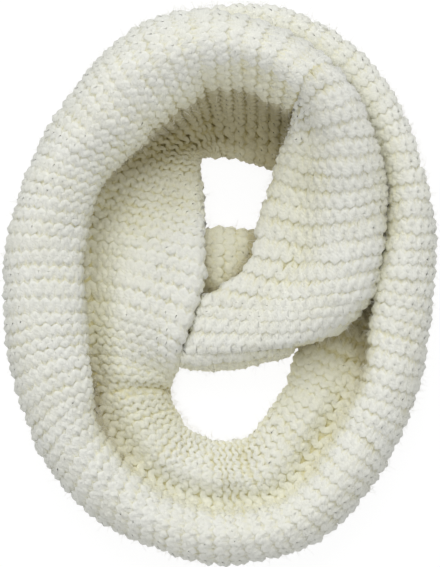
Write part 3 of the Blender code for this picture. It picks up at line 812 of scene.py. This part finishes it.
def stray_fibres(nets, material):
    """Short fine hairs that stand out of the yarn."""
    points, faces = [], []
    total = 0
    for net, first, last, share in nets:
        number = int(FIBRES * share)
        ridges = rng.uniform(first, last, number)
        low, high = ends(net, ridges)
        arcs = low + (high - low) * rng.uniform(*FIBRE_ARCS, number)
        place, out = read(net, ridges, arcs)
        keep = (place[:, 2] > FIBRE_ABOVE) & (out[:, 2] > FIBRE_FACING) & (open_sky(place) > FIBRE_SKY)
        place, out = place[keep], out[keep]
        number = len(place)
        lean = unit(rng.normal(0, 1, (number, 3)))
        way = unit(out * FIBRE_OUT + lean * FIBRE_LEAN)
        bend = unit(rng.normal(0, 1, (number, 3))) * rng.uniform(*FIBRE_BENDS, (number, 1))
        length = rng.uniform(*FIBRE_LENGTHS, (number, 1))
        side = unit(np.cross(way, lean))
        other = unit(np.cross(way, side))
        root = place + out * FIBRE_ROOT
        width = FIBRE * rng.uniform(*FIBRE_WIDTHS, (number, 1))
        rings = []
        for step, thin in FIBRE_TAPER:
            middle = root + way * length * step + bend * length * step**2 * 0.5
            for turn in FIBRE_TURNS:
                offset = side * np.cos(turn) + other * np.sin(turn)
                rings.append(middle + offset * width * thin)
        rings = np.stack(rings, axis=1)
        rings[..., 2] = np.maximum(rings[..., 2], FIBRE_FLOOR)
        size = number * len(FIBRE_TAPER) * len(FIBRE_TURNS)
        ids = total + np.arange(size).reshape(number, len(FIBRE_TAPER), len(FIBRE_TURNS))
        ahead = np.roll(ids, -1, axis=2)
        quads = np.stack((ids[:, :-1], ahead[:, :-1], ahead[:, 1:], ids[:, 1:]), axis=3)
        points.append(rings.reshape(-1, 3))
        faces.append(quads.reshape(-1, 4))
        total += size
    return add_mesh("stray_fibres", np.concatenate(points), np.concatenate(faces), material)


def nodes_of(material):
    """The nodes, the links and the shader of a material."""
    material.use_nodes = True
    tree = material.node_tree
    return tree.nodes, tree.links, tree.nodes["Principled BSDF"]


# Painted shade in the yarn's colour: where the scarf around it hides the sky, on the outer side of the
# roll, and in the valleys between stitches. Each row is a position on the scale of the light, then the
# tint.
# painted shade where the scarf around a place hides the sky
SKY_PAINTED_SHADE = [
    (0.10, 0.48, 0.43, 0.285),
    (0.26, 0.61, 0.555, 0.385),
    (0.45, 0.61, 0.56, 0.40),
    (0.62, 0.90, 0.87, 0.73),
    (0.80, 0.96, 0.94, 0.82),
    (0.93, 0.985, 0.975, 0.89),
    (1.0, 1.0, 1.0, 1.0),
]
# painted shade on the outer side of the roll, where it turns down to the floor
SIDE_PAINTED_SHADE = [
    (0.0, 1.0, 1.0, 1.0),
    (1.0, 0.76, 0.765, 0.76),
]
# painted shade in the valleys between stitches
VALLEY_PAINTED_SHADE = [
    (0.0, 0.58, 0.51, 0.31),
    (0.4, 0.83, 0.77, 0.51),
    (0.76, 0.95, 0.925, 0.785),
    (1.0, 1.0, 1.0, 1.0),
]


def noise(nodes, links, place, scale, detail):
    """A soft random pattern over places."""
    pattern = nodes.new("ShaderNodeTexNoise")
    pattern.inputs["Scale"].default_value = scale
    pattern.inputs["Detail"].default_value = detail
    links.new(place, pattern.inputs["Vector"])
    return pattern.outputs["Fac"]


def arithmetic(nodes, links, operation, *values):
    """One step of arithmetic, on numbers and on the outcomes of other nodes."""
    node = nodes.new("ShaderNodeMath")
    node.operation = operation
    for socket, value in zip(node.inputs, values):
        if isinstance(value, float):
            socket.default_value = value
        else:
            links.new(value, socket)
    return node.outputs["Value"]


def bump_node(nodes, links, height, strength, distance):
    """A fine relief made of a height."""
    bump = nodes.new("ShaderNodeBump")
    bump.inputs["Strength"].default_value = strength
    bump.inputs["Distance"].default_value = distance
    links.new(height, bump.inputs["Height"])
    return bump


def multiply_painted_shade(nodes, links, colour, channel, stops):
    """Multiplies a colour by the painted shade that a channel of the light stands for."""
    shade = nodes.new("ShaderNodeValToRGB")
    while len(shade.color_ramp.elements) < len(stops):
        shade.color_ramp.elements.new(0.5)
    for element, (position, *tone) in zip(shade.color_ramp.elements, stops):
        element.position = position
        element.color = (*tone, 1.0)
    links.new(channel, shade.inputs["Fac"])
    tint = nodes.new("ShaderNodeMix")
    tint.data_type = "RGBA"
    tint.blend_type = "MULTIPLY"
    tint.inputs["Factor"].default_value = 1.0
    links.new(colour, tint.inputs["A"])
    links.new(shade.outputs["Color"], tint.inputs["B"])
    return tint.outputs["Result"]


def patchy_cream(nodes, links, place, tone):
    """The tone of the wool with its uneven dye."""
    ramp = nodes.new("ShaderNodeValToRGB")
    low, high = ramp.color_ramp.elements
    low.position, high.position = 0.3, 0.7
    low.color = (*(part * share for part, share in zip(tone, PATCHY_TONE)), 1.0)
    high.color = (*tone[:3], 1.0)
    links.new(noise(nodes, links, place, scale=38.0, detail=3.0), ramp.inputs["Fac"])
    return ramp.outputs["Color"]


def twist_of_plies(nodes, links):
    """The relief of the twisted plies along the yarn."""
    length = nodes.new("ShaderNodeUVMap")
    length.uv_map = "yarn"
    skew = nodes.new("ShaderNodeMapping")
    skew.inputs["Scale"].default_value = (TWISTS_PER_MM, 1.0, 1.0)
    links.new(length.outputs["UV"], skew.inputs["Vector"])
    split = nodes.new("ShaderNodeSeparateXYZ")
    links.new(skew.outputs["Vector"], split.inputs["Vector"])
    turns = arithmetic(nodes, links, "ADD", split.outputs["X"], split.outputs["Y"])
    angle = arithmetic(nodes, links, "MULTIPLY", turns, 2 * np.pi * PLIES)
    plies = arithmetic(nodes, links, "SINE", angle)
    return bump_node(nodes, links, plies, strength=0.2, distance=0.0005)


def yarn_material(name, tone, twisted, shaded):
    """Soft matt wool: fine fibres in its relief, uneven cream, and if asked its twist and painted shade.
    """
    material = bpy.data.materials.new(name)
    nodes, links, shader = nodes_of(material)
    shader.inputs["Roughness"].default_value = 0.92
    shader.inputs["Specular IOR Level"].default_value = 0.15
    shader.inputs["Sheen Weight"].default_value = 0.2
    shader.inputs["Sheen Roughness"].default_value = 0.55
    place = nodes.new("ShaderNodeTexCoord").outputs["Object"]
    colour = patchy_cream(nodes, links, place, tone)
    if shaded:
        light = nodes.new("ShaderNodeAttribute")
        light.attribute_name = "light"
        parts = nodes.new("ShaderNodeSeparateColor")
        links.new(light.outputs["Color"], parts.inputs["Color"])
        # the three channels of the light paint shade into the colour: where the sky is hidden, in the
        # valleys, and on the outer side
        for channel, stops in (("Red", SKY_PAINTED_SHADE), ("Green", VALLEY_PAINTED_SHADE), ("Blue", SIDE_PAINTED_SHADE)):
            colour = multiply_painted_shade(nodes, links, colour, parts.outputs[channel], stops)
    links.new(colour, shader.inputs["Base Color"])
    fuzz = noise(nodes, links, place, scale=1400.0, detail=2.0)
    bump = bump_node(nodes, links, fuzz, strength=0.5, distance=0.0004)
    if twisted:
        twist = twist_of_plies(nodes, links)
        links.new(bump.outputs["Normal"], twist.inputs["Normal"])
        bump = twist
    links.new(bump.outputs["Normal"], shader.inputs["Normal"])
    return material


def pale_floor():
    """A matt floor that the picture shows as nearly white."""
    material = bpy.data.materials.new("pale_floor")
    _, _, shader = nodes_of(material)
    shader.inputs["Base Color"].default_value = (0.12, 0.12, 0.12, 1.0)
    shader.inputs["Roughness"].default_value = 0.8
    shader.inputs["Emission Color"].default_value = (1.0, 1.0, 1.0, 1.0)
    shader.inputs["Emission Strength"].default_value = 0.9
    return material


yarn = yarn_material("cream_yarn", CREAM, twisted=True, shaded=True)
behind_yarn = yarn_material("cream_backing", CREAM, twisted=False, shaded=True)
shaded_core_yarn = yarn_material("cream_core_in_painted_shade", CREAM_IN_PAINTED_SHADE, twisted=False, shaded=False)
hair_yarn = yarn_material("cream_fibre", CREAM_HAIR, twisted=False, shaded=False)

outer = station_patch(OUTER_TURN)
inner = station_patch(INNER_TURN)
fold = fold_patch()
bridge = station_patch(BRIDGE)
layers = hidden_patch()
TOP = height_map((outer, inner, fold, bridge))  # what open_sky looks at
fold_end = INNER_END + int((len(fold.low) - 1) * fold.step) - 1
hidden_end = int(len(layers.low) * layers.step)

knitted = [
    (knit("right_rows", outer, 0, RIGHT_END, yarn), ("right_stretch",)),
    (knit("lower_rows", outer, RIGHT_END, LOWER_END, yarn), ("lower_stretch",)),
    (knit("left_rows", outer, LOWER_END, LEFT_END, yarn), ("left_stretch",)),
    (knit("upper_rows", outer, LEFT_END, UPPER_END, yarn), ("upper_stretch",)),
    (knit("inner_rows", inner, 0, INNER_END, yarn), ("inner_stretch",)),
    (knit("fold_rows", fold, INNER_END, fold_end, yarn), ("inner_fold",)),
    (knit("bridge_rows", bridge, 0, BRIDGE_END, yarn), ("bridge_stretch",)),
    (knit("hidden_rows", layers, 0, hidden_end, yarn), ("hidden_layers",)),
]
for piece, replaced in knitted:
    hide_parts(*replaced)

points, faces, lights = [], [], []
for net, columns in ((outer, 40), (inner, 34), (fold, 20), (bridge, 20)):
    wall_points, wall_faces, wall_lights = cloth_wall(net, columns)
    faces.append(wall_faces + sum(len(part) for part in points))
    points.append(wall_points)
    lights.append(wall_lights)
points, faces, lights = (np.concatenate(parts) for parts in (points, faces, lights))
cloth = add_mesh("cloth", points, faces, behind_yarn, None, lights)
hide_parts(*[name for _, names in knitted[:-1] for name in names])

hidden = add_mesh("hidden_folds", *hidden_core(), shaded_core_yarn)
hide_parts("hidden_layers")

fibres = stray_fibres(
    [
        (outer, 0, UPPER_END, 0.74),
        (inner, 0, INNER_END, 0.18),
        (fold, INNER_END, fold_end, 0.04),
        (bridge, 0, BRIDGE_END, 0.04),
    ],
    hair_yarn,
)


def ground():
    """The plain pale floor, just clear of the yarn."""
    mesh = bpy.data.meshes.new("ground")
    reach = 3.0
    drop = 0.0005
    mesh.from_pydata(
        [(-reach, -reach, 0), (reach, -reach, 0), (reach, reach, 0), (-reach, reach, 0)],
        [],
        [(0, 1, 2, 3)],
    )
    mesh.materials.append(pale_floor())
    item = add_object("ground", mesh)
    item.location = (0, 0, -drop)


def soft_sun(name, towards, spread, power):
    """A soft distant light from a direction."""
    lamp = bpy.data.lights.new(name, "SUN")
    lamp.angle = np.radians(spread)
    lamp.energy = power
    item = add_object(name, lamp)
    item.rotation_euler = Vector(towards).to_track_quat("Z", "Y").to_euler()


ground()
soft_sun("key", (-0.15, 0.95, 0.85), 50.0, 1.15)
soft_sun("side", (-1.0, 0.1, 0.9), 60.0, 0.25)
soft_sun("overhead", (0.2, 0.1, 1.0), 90.0, 0.45)

world = bpy.data.worlds.new("studio")
world.use_nodes = True
background = world.node_tree.nodes["Background"]
background.inputs["Color"].default_value = (1.0, 1.0, 1.0, 1.0)
background.inputs["Strength"].default_value = 0.46
bpy.context.scene.world = world

CAMERA_HEIGHT = 4.0
CAMERA_ASIDE = (0.0004, -0.0004)
OUTLINE_HEIGHT = 0.02  # where the outline of the roll lies over the floor
NEARER = OUTLINE_HEIGHT / CAMERA_HEIGHT
PICTURE_HEIGHT = 0.4215 * (1 - NEARER)  # what the picture shows at that height, top to bottom

lens = bpy.data.cameras.new("camera")
lens.sensor_fit = "VERTICAL"
lens.sensor_height = 36.0
lens.lens = lens.sensor_height * CAMERA_HEIGHT / PICTURE_HEIGHT / (1 + NEARER)
lens.clip_end = 20.0
camera = add_object("camera", lens)
camera.location = (*CAMERA_ASIDE, CAMERA_HEIGHT)
bpy.context.scene.camera = camera
bpy.context.scene.view_settings.view_transform = "Standard"
